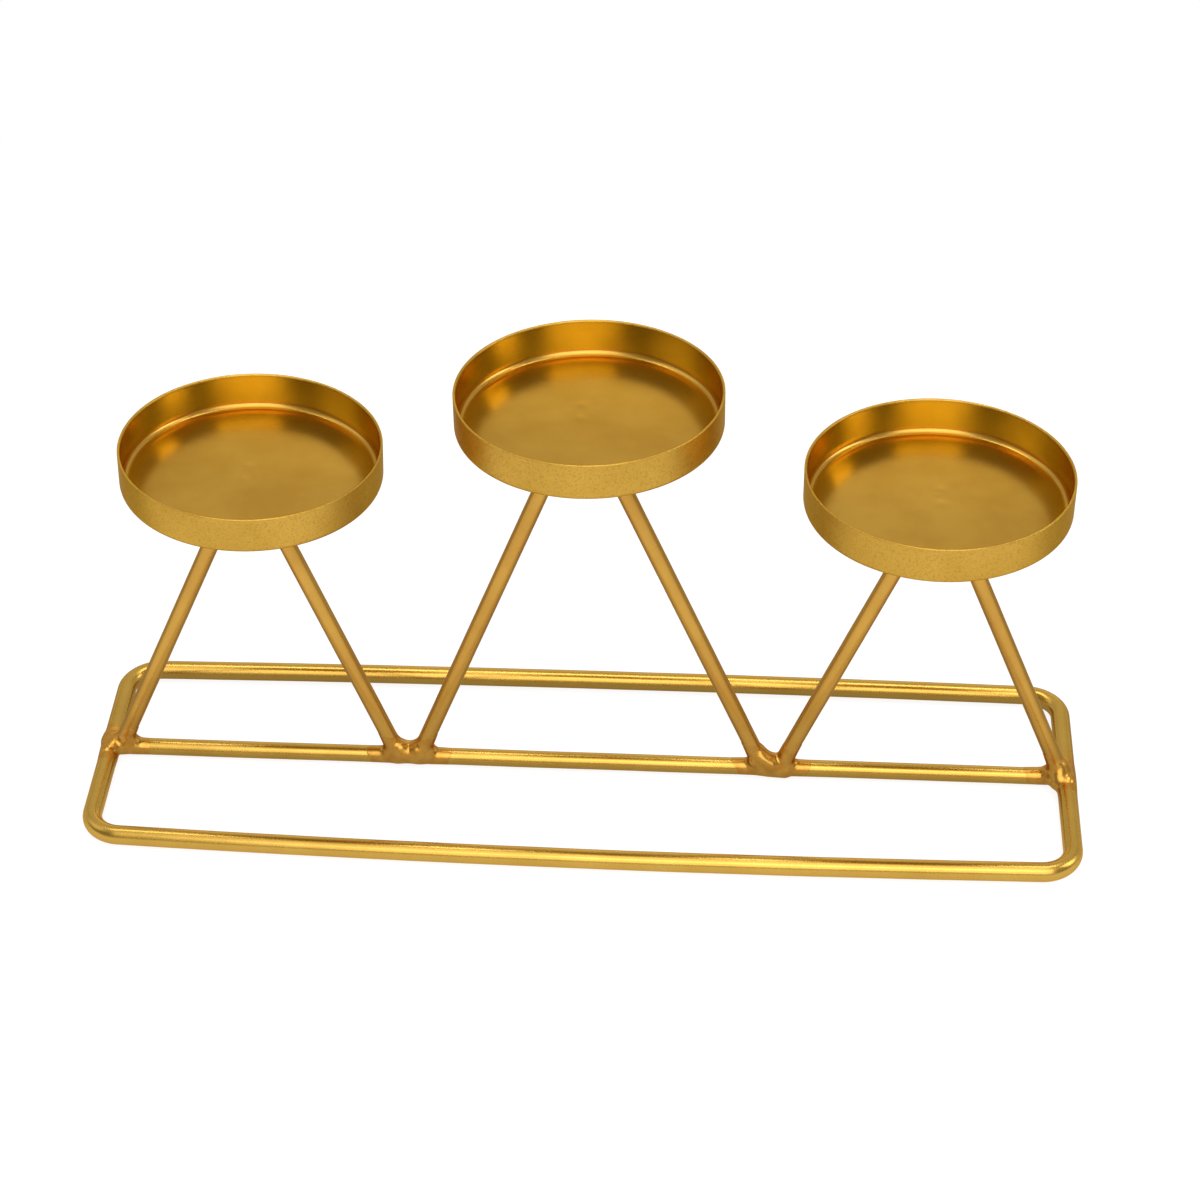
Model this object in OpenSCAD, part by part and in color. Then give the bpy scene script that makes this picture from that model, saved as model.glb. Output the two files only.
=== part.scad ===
// Three-cup candle stand: pans on bent-wire trestles, welded to a long wire base.
// Millimetres. X runs along the base, Y away from the front, Z up.
// The origin is under the middle of the base, on the table.

/* [Base loop] */
// Overall length of the base, outside, along its rear bar
base_length = 299.6; // [260:0.1:400]
// Overall width of the base, outside, at the middle of its long bars
base_width = 89.2; // [70:0.1:140]
// Diameter of the base wire
loop_wire_d = 5.8; // [4.5:0.1:8]
// Radius of the base's corners, to the middle of the wire
corner_r = 10; // [6:0.5:20]
// How far the front bar bows outwards at its middle
front_bow = 2.2; // [0.5:0.1:5]
// How far the rear bar bows outwards at its middle
rear_bow = 1.4; // [0.5:0.1:5]
// How much further out the left end lies at the rear than at the front
left_splay = 2.3; // [0:0.1:5]
// How much further out the right end lies at the rear than at the front
right_splay = 0.9; // [0:0.1:5]
// How much further forward the front bar lies at its right end than at its left
front_slant = 1.9; // [-3:0.1:3]
// How much further back the rear bar lies at its right end than at its left
rear_slant = 0.9; // [-3:0.1:3]

/* [Centre bar] */
// Diameter of the bar that the trestles stand on
bar_d = 5.2; // [4:0.1:7]
// How far the bar lies behind the middle of the base
bar_y = 2.1; // [-8:0.1:8]

/* [Trestle wire] */
// Diameter of the trestle wire
leg_wire_d = 5; // [4:0.1:6]
// Radius of the bend at the top of each trestle, to the middle of the wire
bend_r = 5; // [3.5:0.1:9]
// Gap between the left and the middle trestle's feet
left_foot_gap = 1.4; // [0.2:0.1:4]
// Gap between the middle and the right trestle's feet
right_foot_gap = 0.2; // [0.2:0.1:4]
// How far the left outer foot stands in from the base's end wire
left_inset = 3.3; // [0.5:0.1:8]
// How far the right outer foot stands in from the base's end wire
right_inset = 1.4; // [0.5:0.1:8]

/* [Left trestle] */
// Height of the left cup's underside where it rests
left_height = 101.2; // [70:0.1:140]
// How far the left bend lies to the right of the middle of its feet
left_shift = 4.6; // [-6:0.1:6]
// Backward lean of the left trestle, in degrees
left_lean = 1.4; // [-6:0.1:6]

/* [Middle trestle] */
// Height of the middle cup's underside where it rests
middle_height = 125.4; // [80:0.1:160]
// Distance between the middle trestle's feet, between wire centres
middle_span = 105; // [80:0.1:140]
// How far the middle trestle stands to the right of the base's middle
middle_x = 2.4; // [-6:0.1:6]
// How far the middle bend lies to the right of the middle of its feet
middle_shift = -0.6; // [-6:0.1:6]
// Backward lean of the middle trestle, in degrees
middle_lean = 0.6; // [-6:0.1:6]

/* [Right trestle] */
// Height of the right cup's underside where it rests
right_height = 103.2; // [70:0.1:140]
// How far the right bend lies to the right of the middle of its feet
right_shift = -0.6; // [-6:0.1:6]
// Backward lean of the right trestle, in degrees
right_lean = -2; // [-6:0.1:6]

/* [Cups] */
// Outside diameter of the cups
cup_d = 75; // [50:0.5:90]
// Height of the cups
cup_height = 11.3; // [8:0.1:25]
// Thickness of the cups' sheet
cup_sheet = 0.8; // [0.5:0.1:1.5]
// Outer radius where the cups' floor turns up into the wall
cup_edge_r = 1.7; // [1.6:0.1:4]
// Inner radius where the cups' floor turns up into the wall
cup_corner_r = 2.2; // [0.8:0.1:4]
// How far the left cup sits to the right of its bend
left_cup_x = 1.1; // [-4:0.1:4]
// How far the left cup sits behind its bend
left_cup_y = 3.1; // [-4:0.1:4]
// Tilt of the left cup down to the right, in degrees
left_cup_tilt = 2.8; // [-5:0.1:5]
// How far the middle cup sits to the right of its bend
middle_cup_x = 2.3; // [-4:0.1:4]
// How far the middle cup sits behind its bend
middle_cup_y = -1.1; // [-4:0.1:4]
// How far the right cup sits to the right of its bend
right_cup_x = -0.7; // [-4:0.1:4]
// How far the right cup sits behind its bend
right_cup_y = 0.9; // [-4:0.1:4]

/* [Welds] */
// How thick the weld metal lies over a wire
bead_skin = 0.7; // [0.3:0.1:1.2]
// How far a notch weld runs past the foot on its left
reach_left = 0.4; // [0.2:0.1:4]
// How far a notch weld runs past the foot on its right
reach_right = 2.4; // [0.2:0.1:4]
// How far an end weld runs along the bar, in from the middle of the foot
end_reach = 2; // [0:0.1:4]
// How high the left notch weld fills the notch between its feet, over the bar
left_web = 2.4; // [0.8:0.1:4]
// How high the right notch weld fills the notch between its feet, over the bar
right_web = 1; // [0.8:0.1:4]
// How thick the left end weld lies over the thickest wire
left_skin = 0.7; // [0.4:0.1:1.6]
// How thick the right end weld lies over the thickest wire
right_skin = 1.1; // [0.4:0.1:1.6]
// Radius of the tack welds under the cups
tack_r = 1.9; // [1.2:0.1:2.5]
// Gap left between pieces that a weld joins
joint_gap = 0.05; // [0.02:0.01:0.1]

/* [Hidden] */

gold = [0.80, 0.60, 0.22];
weld_gold = [0.72, 0.52, 0.18];
$fn = 72;
wire_fn = 48;
arc_step = 12;
// Bends are drawn this much thicker, so that the straight wires run into them by the overlap
bend_extra = 0.06;
overlap = 0.3;

// Base: the centres of its corners, going round from the front left
loop_r = loop_wire_d / 2;
rear_x = base_length / 2 - loop_r - corner_r;
front_y = -(base_width / 2 - loop_r - corner_r - front_bow);
rear_y = base_width / 2 - loop_r - corner_r - rear_bow;
corners = [[left_splay - rear_x, front_y + front_slant / 2],
           [rear_x - right_splay, front_y - front_slant / 2],
           [rear_x, rear_y + rear_slant / 2],
           [-rear_x, rear_y - rear_slant / 2]];

// Its sides, in the same order: the front bar, the right end, the rear bar and the left end
bows = [front_bow, 0, rear_bow, 0];
function side(k) = corners[(k + 1) % 4] - corners[k];
function faces(k) = atan2(side(k).y, side(k).x) - 90;

// A bowed side is a long arc that runs into both corner arcs
function bow_r(k) = (pow(norm(side(k)) / 2, 2) + bows[k] * bows[k]) / (2 * bows[k]);
function bow_half(k) = bows[k] == 0 ? 0 : asin(norm(side(k)) / 2 / bow_r(k));

// Where the middle of an end wire lies, at a given place across the base
function end_x(k, y) = corners[k].x + side(k).x * (y - corners[k].y) / side(k).y
                       + corner_r / cos(faces(k));
right_end = 1;
left_end = 3;

// Bar and feet
bar_z = loop_r;
bar_r = bar_d / 2;
leg_r = leg_wire_d / 2;
left_end_x = end_x(left_end, bar_y);
right_end_x = end_x(right_end, bar_y);
foot_1 = left_end_x + left_inset;
foot_3 = middle_x - middle_span / 2;
foot_2 = foot_3 - leg_wire_d - left_foot_gap;
foot_4 = middle_x + middle_span / 2;
foot_5 = foot_4 + leg_wire_d + right_foot_gap;
foot_6 = right_end_x - right_inset;

// Per trestle, from left to right
feet = [[foot_1, foot_2], [foot_3, foot_4], [foot_5, foot_6]];
shifts = [left_shift, middle_shift, right_shift];
leans = [left_lean, middle_lean, right_lean];
tilts = [left_cup_tilt, 0, 0];
heights = [left_height, middle_height, right_height];
cup_places = [[left_cup_x, left_cup_y], [middle_cup_x, middle_cup_y], [right_cup_x, right_cup_y]];

// From the middle of a bend up to the underside of its cup
function seat_rise(i) = leg_r + joint_gap
    + bend_r * sqrt(pow(sin(tilts[i]), 2) + pow(cos(tilts[i]) * cos(leans[i]), 2));
function bend_x(i) = (feet[i][0] + feet[i][1]) / 2 + shifts[i];
function bend_z(i) = heights[i] - seat_rise(i);
function bend_up(i) = (bend_z(i) - bar_z) / cos(leans[i]);
function bend_y(i) = bar_y + bend_up(i) * sin(leans[i]);

// Which way a foot's wire points, rising from the bar to touch the bend's circle
function foot_turn(i, f) = let (v = [bend_x(i) - feet[i][f], bend_up(i)])
    atan2(v.y, v.x) + (f == 0 ? 1 : -1) * asin(bend_r / norm(v));
function touch_point(i, f) = let (a = foot_turn(i, f) + (f == 0 ? 90 : -90))
    [bend_x(i) + bend_r * cos(a), 0, bend_up(i) + bend_r * sin(a)];

// Welds
bead_r = max(bar_r, leg_r) + bead_skin;
bead_z = bead_r + joint_gap;
web_r = leg_r;
tack_y = leg_r + tack_r / 2;
big = 2 * base_length;

module rod(from, to, d) {
    v = to - from;
    translate(from) rotate([0, acos(v.z / norm(v)), atan2(v.y, v.x)])
        cylinder(h = norm(v), d = d, $fn = wire_fn);
}

module ring_arc(r, start, end, d) {
    rotate([0, 0, start]) rotate_extrude(angle = end - start, $fn = max($fn, 2 * PI * r / arc_step))
        translate([r, 0]) circle(d = d, $fn = wire_fn);
}

// A rod that is longer at both ends by the overlap
module long_rod(from, to, d) {
    extra = overlap * (to - from) / norm(to - from);
    rod(from - extra, to + extra, d);
}

module capsule(from, to, r) {
    rod(from, to, 2 * r);
    translate(from) sphere(r = r);
    translate(to) sphere(r = r);
}

// The base's two end wires, which the bar and the outer feet are cut to
module end_wires(d) {
    for (k = [right_end, left_end]) {
        out = corner_r * [cos(faces(k)), sin(faces(k)), 0];
        from = [corners[k].x, corners[k].y, loop_r] + out;
        long_rod(from, from + [side(k).x, side(k).y, 0], d);
    }
}

// The corner where one side of the base turns into the next
module corner(k) {
    start = faces((k + 3) % 4) + bow_half((k + 3) % 4);
    end = faces(k) - bow_half(k);
    translate([corners[k].x, corners[k].y, loop_r])
        ring_arc(corner_r, start, end < start ? end + 360 : end, loop_wire_d + bend_extra);
}

module bowed_bar(k) {
    reach = bow_half(k) + overlap / bow_r(k) * 180 / PI;
    middle = corners[k] + side(k) / 2 - (bow_r(k) - bows[k]) * [cos(faces(k)), sin(faces(k))];
    translate([middle.x, middle.y, loop_r])
        ring_arc(bow_r(k) + corner_r, faces(k) - reach, faces(k) + reach, loop_wire_d);
}

module base_loop() {
    color(gold) {
        end_wires(loop_wire_d);
        for (k = [0:3]) corner(k);
        for (k = [0, 2]) bowed_bar(k);
    }
}

module bar_rod(d) {
    rod([left_end_x, bar_y, bar_z], [right_end_x, bar_y, bar_z], d);
}

module centre_bar() {
    color(gold) difference() {
        bar_rod(bar_d);
        end_wires(loop_wire_d + 2 * joint_gap);
    }
}

// Stands a shape, drawn in a trestle's own upright plane, on the bar at its lean
module on_bar(i) {
    translate([0, bar_y, bar_z]) rotate([-leans[i], 0, 0]) children();
}

module leg(i, f, d) {
    on_bar(i) long_rod([feet[i][f], 0, 0], touch_point(i, f), d);
}

module bend(i) {
    on_bar(i) translate([bend_x(i), 0, bend_up(i)]) rotate([90, 0, 0])
        ring_arc(bend_r, foot_turn(i, 1) - 90, foot_turn(i, 0) + 90, leg_wire_d + bend_extra);
}

module trestle(i) {
    color(gold) difference() {
        union() {
            leg(i, 0, leg_wire_d);
            leg(i, 1, leg_wire_d);
            bend(i);
        }
        bar_rod(bar_d + 2 * joint_gap);
        end_wires(loop_wire_d + 2 * joint_gap);
    }
}

// Stands a shape on a trestle's bend as its cup stands, with the tilt that the cup has
module on_bend(i) {
    translate([bend_x(i), bend_y(i), bend_z(i)]) rotate([0, tilts[i], 0])
        translate([0, 0, seat_rise(i)]) children();
}

// Half the outline of a cup that is inset all round, with its lower edge rounded
module pan_half(inset, edge, top) {
    r = cup_d / 2 - inset;
    translate([0, inset]) square([r - edge, top - inset]);
    translate([0, inset + edge]) square([r, top - inset - edge]);
    translate([r - edge, inset + edge]) circle(r = edge);
}

module pan() {
    rotate_extrude($fn = 144) difference() {
        pan_half(0, cup_edge_r, cup_height);
        pan_half(cup_sheet, cup_corner_r, cup_height + cup_sheet);
    }
}

module cup(i) {
    color(gold) on_bend(i) translate([cup_places[i].x, cup_places[i].y, 0]) pan();
}

// Cuts a weld back from every wire that meets on the bar, and from the table
module off_wires() {
    difference() {
        union() children();
        bar_rod(bar_d + 2 * joint_gap);
        end_wires(loop_wire_d + 2 * joint_gap);
        for (i = [0:2], f = [0, 1]) leg(i, f, leg_wire_d + 2 * joint_gap);
    }
}

// Weld metal round the bar where two trestles stand side by side
module notch_weld(x_left, x_right, web) {
    ends = [x_left - leg_r - reach_left + bead_r, x_right + leg_r + reach_right - bead_r];
    color(weld_gold) off_wires() {
        capsule([ends[0], bar_y, bead_z], [ends[1], bar_y, bead_z], bead_r);
        translate([(x_left + x_right) / 2, bar_y, bar_z + bar_r + web - web_r]) sphere(r = web_r);
    }
}

// Weld metal where the bar, an outer foot and an end wire meet
module end_weld(x_foot, x_wire, skin) {
    out = sign(x_wire);
    r = max(bar_r, leg_r, loop_r) + skin;
    from = [x_foot - out * end_reach, bar_y, r + joint_gap];
    to = [x_wire - out * (r - loop_r), bar_y, r + joint_gap];
    color(weld_gold) off_wires() capsule(from, to, r);
}

module cup_tacks(i) {
    color(weld_gold) on_bend(i) difference() {
        for (y = [-tack_y, tack_y]) translate([0, y, -tack_r / 2]) sphere(r = tack_r);
        translate([-big / 2, -big / 2, -joint_gap]) cube([big, big, big]);
        translate([0, 0, -seat_rise(i)]) rotate([0, -tilts[i], 0]) rotate([90 - leans[i], 0, 0])
            rotate_extrude() translate([bend_r, 0]) circle(d = leg_wire_d + 2 * joint_gap, $fn = wire_fn);
    }
}

module left_trestle() { trestle(0); }
module middle_trestle() { trestle(1); }
module right_trestle() { trestle(2); }
module left_cup() { cup(0); }
module middle_cup() { cup(1); }
module right_cup() { cup(2); }
module left_end_weld() { end_weld(foot_1, left_end_x, left_skin); }
module left_notch_weld() { notch_weld(foot_2, foot_3, left_web); }
module right_notch_weld() { notch_weld(foot_4, foot_5, right_web); }
module right_end_weld() { end_weld(foot_6, right_end_x, right_skin); }
module left_cup_tacks() { cup_tacks(0); }
module middle_cup_tacks() { cup_tacks(1); }
module right_cup_tacks() { cup_tacks(2); }

base_loop();
centre_bar();
left_trestle();
middle_trestle();
right_trestle();
left_cup();
middle_cup();
right_cup();
left_end_weld();
left_notch_weld();
right_notch_weld();
right_end_weld();
left_cup_tacks();
middle_cup_tacks();
right_cup_tacks();
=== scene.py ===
import math
import bpy
import bmesh
import numpy as np
from mathutils import Matrix, Vector


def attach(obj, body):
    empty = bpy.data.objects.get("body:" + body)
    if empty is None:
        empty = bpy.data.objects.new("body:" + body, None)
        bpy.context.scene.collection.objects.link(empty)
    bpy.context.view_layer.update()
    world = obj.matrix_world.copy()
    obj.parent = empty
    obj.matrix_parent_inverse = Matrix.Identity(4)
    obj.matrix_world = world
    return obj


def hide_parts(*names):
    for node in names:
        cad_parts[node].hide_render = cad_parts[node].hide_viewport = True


# Long candle stand: a wire loop and a bar on the table, three bent-wire trestles and three shallow cups.
# Sizes are in millimetres, and everything is turned to metres where the meshes are made.
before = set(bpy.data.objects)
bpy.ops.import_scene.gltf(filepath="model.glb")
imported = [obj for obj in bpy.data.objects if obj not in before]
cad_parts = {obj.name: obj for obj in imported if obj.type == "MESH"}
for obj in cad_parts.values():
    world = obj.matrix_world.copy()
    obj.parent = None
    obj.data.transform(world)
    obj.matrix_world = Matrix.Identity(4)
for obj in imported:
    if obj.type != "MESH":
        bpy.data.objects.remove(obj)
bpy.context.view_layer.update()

millimetre = 0.001
phaseSpan = 6.283  # random phases are drawn over one turn


# Colours, nodes and materials

def hexColour(code):
    parts = [int(code[i:i + 2], 16) / 255 for i in (1, 3, 5)]
    return tuple(p / 12.92 if p <= 0.04045 else ((p + 0.055) / 1.055) ** 2.4 for p in parts) + (1.0,)


# One node with its settings, its fixed inputs and its links (a link is another node's output)
def addNode(tree, kind, inputs=None, **settings):
    node = tree.nodes.new(kind)
    for name, value in settings.items():
        setattr(node, name, value)
    for key, value in (inputs or {}).items():
        if isinstance(value, bpy.types.NodeSocket):
            tree.links.new(value, node.inputs[key])
        else:
            node.inputs[key].default_value = value
    return node


# Two numbers combined, as the output of a Math node
def combine(tree, operation, first, second):
    return addNode(tree, "ShaderNodeMath", {0: first, 1: second}, operation=operation).outputs[0]


# Brass plating on steel wire and sheet, drawn or pressed and then satin lacquered.
# The plating gives the eye a clear yellow that goes deep orange where it mirrors itself, the satin
# surface draws each lamp out into a soft streak, and the thin lacquer pales the grazing edges a little.
def brassPlating(name, look):
    material = bpy.data.materials.new(name)
    material.use_nodes = True
    tree = material.node_tree
    tree.nodes.clear()
    place = addNode(tree, "ShaderNodeTexCoord").outputs["Object"]
    perMm = 1000.0  # noise cells in a metre, where a cell is 1 mm

    # Slow drift of the plating's colour, in patches about as wide as patchMm
    patches = addNode(tree, "ShaderNodeTexNoise", {
        "Vector": place, "Scale": perMm / look["patchMm"], "Detail": 3.0, "Roughness": 0.55})
    colour = addNode(tree, "ShaderNodeMix", {
        0: addNode(tree, "ShaderNodeMapRange", {
            "Value": patches.outputs["Fac"], "From Min": 0.35, "From Max": 0.65}).outputs[0],
        6: hexColour(look["deep"]), 7: hexColour(look["pale"])}, data_type="RGBA")

    # Grain of the metal under the plating: grainMm is its size along x, y and z, longest along the grain
    stretched = addNode(tree, "ShaderNodeMapping", {
        "Vector": place, "Scale": tuple(perMm / s for s in look["grainMm"])})
    grain = addNode(tree, "ShaderNodeTexNoise", {
        "Vector": stretched.outputs["Vector"], "Scale": 1.0, "Detail": 2.0, "Roughness": 0.6})
    specks = addNode(tree, "ShaderNodeTexNoise", {
        "Vector": place, "Scale": perMm / look["speckMm"], "Detail": 2.0, "Roughness": 0.5})
    speckled = addNode(tree, "ShaderNodeMix", {
        0: addNode(tree, "ShaderNodeMapRange", {
            "Value": specks.outputs["Fac"], "From Min": 0.50, "From Max": 0.68,
            "To Min": 0.0, "To Max": look["speckMix"]}).outputs[0],
        6: colour.outputs[2], 7: hexColour(look["speck"])}, data_type="RGBA")
    roughness = addNode(tree, "ShaderNodeMapRange", {
        "Value": grain.outputs["Fac"], "From Min": 0.3, "From Max": 0.7,
        "To Min": look["roughness"] - look["roughSpread"],
        "To Max": look["roughness"] + look["roughSpread"]})

    # Height of the grain and the specks, from micrometres
    height = combine(tree, "ADD",
                     combine(tree, "MULTIPLY", grain.outputs["Fac"], look["grainUm"] * 1e-6),
                     combine(tree, "MULTIPLY", specks.outputs["Fac"], look["speckUm"] * 1e-6))
    bump = addNode(tree, "ShaderNodeBump", {"Strength": 1.0, "Distance": 1.0, "Height": height})
    shader = addNode(tree, "ShaderNodeBsdfPrincipled", {
        "Base Color": speckled.outputs[2], "Metallic": 1.0, "Roughness": roughness.outputs[0],
        "Specular Tint": hexColour(look["edge"]), "Coat Weight": look["coat"],
        "Coat Roughness": look["coatRoughness"], "Coat IOR": 1.5, "Normal": bump.outputs["Normal"]})
    addNode(tree, "ShaderNodeOutputMaterial", {"Surface": shader.outputs[0]})
    return material


# Drawn wire: the grain runs along the wire. It is too fine to show, so it is drawn 0.5 or 0.6 mm wide
baseWireLook = {"deep": "#C1973A", "pale": "#CBA142", "speck": "#A67C2C", "speckMix": 0.10,
                "patchMm": 22.0, "grainMm": (3.0, 0.5, 0.5), "speckMm": 0.9,
                "grainUm": 0.4, "speckUm": 0.2, "roughness": 0.27, "roughSpread": 0.012,
                "edge": "#F0C880", "coat": 0.40, "coatRoughness": 0.20}
trestleWireLook = dict(baseWireLook, deep="#BF8D34", pale="#CA9A3D", grainMm=(0.6, 0.6, 2.5),
                       roughness=0.31, roughSpread=0.015, grainUm=0.8, speckUm=0.4)
# Pressed sheet: the floor inside. Its fine cloth-like grain is too small to show, so it is drawn much
# coarser, about 1 mm, and nearly flat, which leaves the floor smoother than the real one
cupLook = {"deep": "#C09138", "pale": "#CB9D41", "speck": "#A67C2C", "speckMix": 0.0,
           "patchMm": 18.0, "grainMm": (0.5, 1.2, 1.2), "speckMm": 0.6,
           "grainUm": 0.05, "speckUm": 0.0, "roughness": 0.27, "roughSpread": 0.002,
           "edge": "#FFD890", "coat": 0.12, "coatRoughness": 0.25}
# The wall inside, wiped round while it was lacquered, so its streaks lie level. It is the same plating as
# the floor, drawn yellower
# and a little darker: painted light, so that what it mirrors comes out less orange and less bright. The
# streaks are drawn coarse too, 0.5 mm wide
cupInnerTintedLook = dict(cupLook, deep="#BAA23A", pale="#C4AC44", grainMm=(4.0, 4.0, 0.5), grainUm=0.6,
                    roughness=0.22, roughSpread=0.015)
# The wall outside, brushed up and down with a fine grit, so it is duller and its streaks stand up.
# The grit's lines are too fine to show, so they are drawn 0.3 mm wide
cupWallLook = dict(cupLook, deep="#C0953A", pale="#CBA043", grainMm=(0.32, 0.32, 1.8), grainUm=13.0,
                   speckUm=9.0, roughness=0.40, roughSpread=0.06, speckMix=0.55)
# Weld metal under the same plating: run smooth, browner where flux burnt in
weldLook = {"deep": "#BE862B", "pale": "#CB983C", "speck": "#8C6524", "speckMix": 0.12,
            "patchMm": 3.0, "grainMm": (1.2, 1.2, 1.2), "speckMm": 0.7,
            "grainUm": 0.3, "speckUm": 0.0, "roughness": 0.31, "roughSpread": 0.01,
            "edge": "#F0C880", "coat": 0.35, "coatRoughness": 0.18}

baseWireBrass = brassPlating("brass plated drawn wire, base", baseWireLook)
trestleWireBrass = brassPlating("brass plated drawn wire, trestles", trestleWireLook)
cupBrass = brassPlating("brass plated pressed sheet, floor", cupLook)
cupInnerTintedBrass = brassPlating("brass plated pressed sheet, inner wall", cupInnerTintedLook)
cupWallBrass = brassPlating("brass plated brushed sheet, outside", cupWallLook)
weldBrass = brassPlating("brass plated weld metal", weldLook)
print("materials ready")


# What the stand is set out from: each tuple of three goes left, middle, right

base = {"length": 299.6, "width": 89.2, "wire": 5.8, "cornerR": 10.0, "frontBow": 2.2, "rearBow": 1.4,
        "leftSplay": 2.3, "rightSplay": 0.9, "frontSlant": 1.9, "rearSlant": 0.9,
        "bar": 5.2, "barY": 2.1}
trestles = {"wire": 5.0, "bendR": 5.0, "leftGap": 1.4, "rightGap": 0.2,
            "leftInset": 3.3, "rightInset": 1.4, "middleSpan": 105.0, "middleX": 2.4,
            "heights": (101.2, 125.4, 103.2), "shifts": (4.6, -0.6, -0.6), "leans": (1.4, 0.6, -2.0)}
cups = {"across": 75.0, "height": 11.3, "sheet": 0.8, "edgeR": 1.7,
        "places": ((1.1, 3.1), (2.3, -1.1), (-0.7, 0.9)), "tilts": (2.8, 0.0, 0.0)}
placeNames = ("left", "middle", "right")

loopR = base["wire"] / 2
barR = base["bar"] / 2
legR = trestles["wire"] / 2
bendR = trestles["bendR"]
barY = base["barY"]
barZ = loopR
gap = 0.05  # air between pieces that touch

# Middles of the loop's rounded corners, front left first and on to the right
rearX = base["length"] / 2 - loopR - base["cornerR"]
frontY = -(base["width"] / 2 - loopR - base["cornerR"] - base["frontBow"])
rearY = base["width"] / 2 - loopR - base["cornerR"] - base["rearBow"]
corners = np.array([(base["leftSplay"] - rearX, frontY + base["frontSlant"] / 2),
                    (rearX - base["rightSplay"], frontY - base["frontSlant"] / 2),
                    (rearX, rearY + base["rearSlant"] / 2), (-rearX, rearY - base["rearSlant"] / 2)])
bows = (base["frontBow"], 0.0, base["rearBow"], 0.0)


def sideOf(k):  # from corner k to the next
    return corners[(k + 1) % 4] - corners[k]


def facing(k):  # the way that side k faces, outwards
    s = sideOf(k)
    return math.atan2(s[1], s[0]) - math.pi / 2


def bowR(k):
    return ((np.linalg.norm(sideOf(k)) / 2) ** 2 + bows[k] ** 2) / (2 * bows[k])


def bowHalf(k):
    return 0.0 if bows[k] == 0 else math.asin(np.linalg.norm(sideOf(k)) / 2 / bowR(k))


def endX(k, y):  # where the middle of end wire k is, at a given y
    s = sideOf(k)
    return corners[k][0] + s[0] * (y - corners[k][1]) / s[1] + base["cornerR"] / math.cos(facing(k))


leftEnd, rightEnd = endX(3, barY), endX(1, barY)
foot1 = leftEnd + trestles["leftInset"]
foot3 = trestles["middleX"] - trestles["middleSpan"] / 2
foot2 = foot3 - trestles["wire"] - trestles["leftGap"]
foot4 = trestles["middleX"] + trestles["middleSpan"] / 2
foot5 = foot4 + trestles["wire"] + trestles["rightGap"]
foot6 = rightEnd - trestles["rightInset"]
feet = ((foot1, foot2), (foot3, foot4), (foot5, foot6))
leans = [math.radians(a) for a in trestles["leans"]]
tilts = [math.radians(a) for a in cups["tilts"]]


def seatRise(i):  # from the middle of a bend up to its cup's underside
    return legR + gap + bendR * math.hypot(math.sin(tilts[i]), math.cos(tilts[i]) * math.cos(leans[i]))


def bendMiddle(i):  # x, y, z and the height in the trestle's own leaning plane
    x = sum(feet[i]) / 2 + trestles["shifts"][i]
    z = trestles["heights"][i] - seatRise(i)
    up = (z - barZ) / math.cos(leans[i])
    return x, barY + up * math.sin(leans[i]), z, up


def onTrestle(i, x, up):  # a point of the leaning plane, in the stand's own frame
    return np.array((x, barY + up * math.sin(leans[i]), barZ + up * math.cos(leans[i])))


def footTurn(i, f):  # how steeply a leg stands, foot 0 being the left one
    x, _, _, up = bendMiddle(i)
    vx = x - feet[i][f]
    return math.atan2(up, vx) + (1 if f == 0 else -1) * math.asin(bendR / math.hypot(vx, up))


def legEnd(i, f):  # where a leg's straight wire meets its bend, in the leaning plane
    x, _, _, up = bendMiddle(i)
    a = footTurn(i, f) + (math.pi / 2 if f == 0 else -math.pi / 2)
    return x + bendR * math.cos(a), up + bendR * math.sin(a)


def cupPoint(i, px, py, h):  # a point measured from a bend's top, in the tilted plane of its cup
    x, y, z, _ = bendMiddle(i)
    c, s, r = math.cos(tilts[i]), math.sin(tilts[i]), seatRise(i) + h
    return np.array((x + px * c + r * s, y + py, z - px * s + r * c))


# Smooth wandering between about -1 and 1, the same on every run
def wander(t, seed, scale):
    rng = np.random.default_rng(seed)
    out = np.zeros_like(t, dtype=float)
    for k in range(4):
        pace = 0.6 + 0.7 * k + 0.3 * rng.random()
        out += np.sin(t / scale * pace * 2 * math.pi + rng.random() * phaseSpan) / (1 + 0.6 * k)
    return out / 2.2


def lengthAlong(line):
    return np.concatenate([[0], np.cumsum(np.linalg.norm(np.diff(line, axis=0), axis=1))])


def meshPiece(name, points, faces, material, node):
    mesh = bpy.data.meshes.new(name)
    bm = bmesh.new()
    verts = [bm.verts.new(Vector(p) * millimetre) for p in points]
    for f in faces:
        bm.faces.new([verts[i] for i in f])
    bmesh.ops.recalc_face_normals(bm, faces=bm.faces)
    for f in bm.faces:
        f.smooth = True
    bm.to_mesh(mesh)
    bm.free()
    mesh.materials.append(material)
    piece = bpy.data.objects.new(name, mesh)
    bpy.context.scene.collection.objects.link(piece)
    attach(piece, "root")
    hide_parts(node)
    return piece


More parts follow.
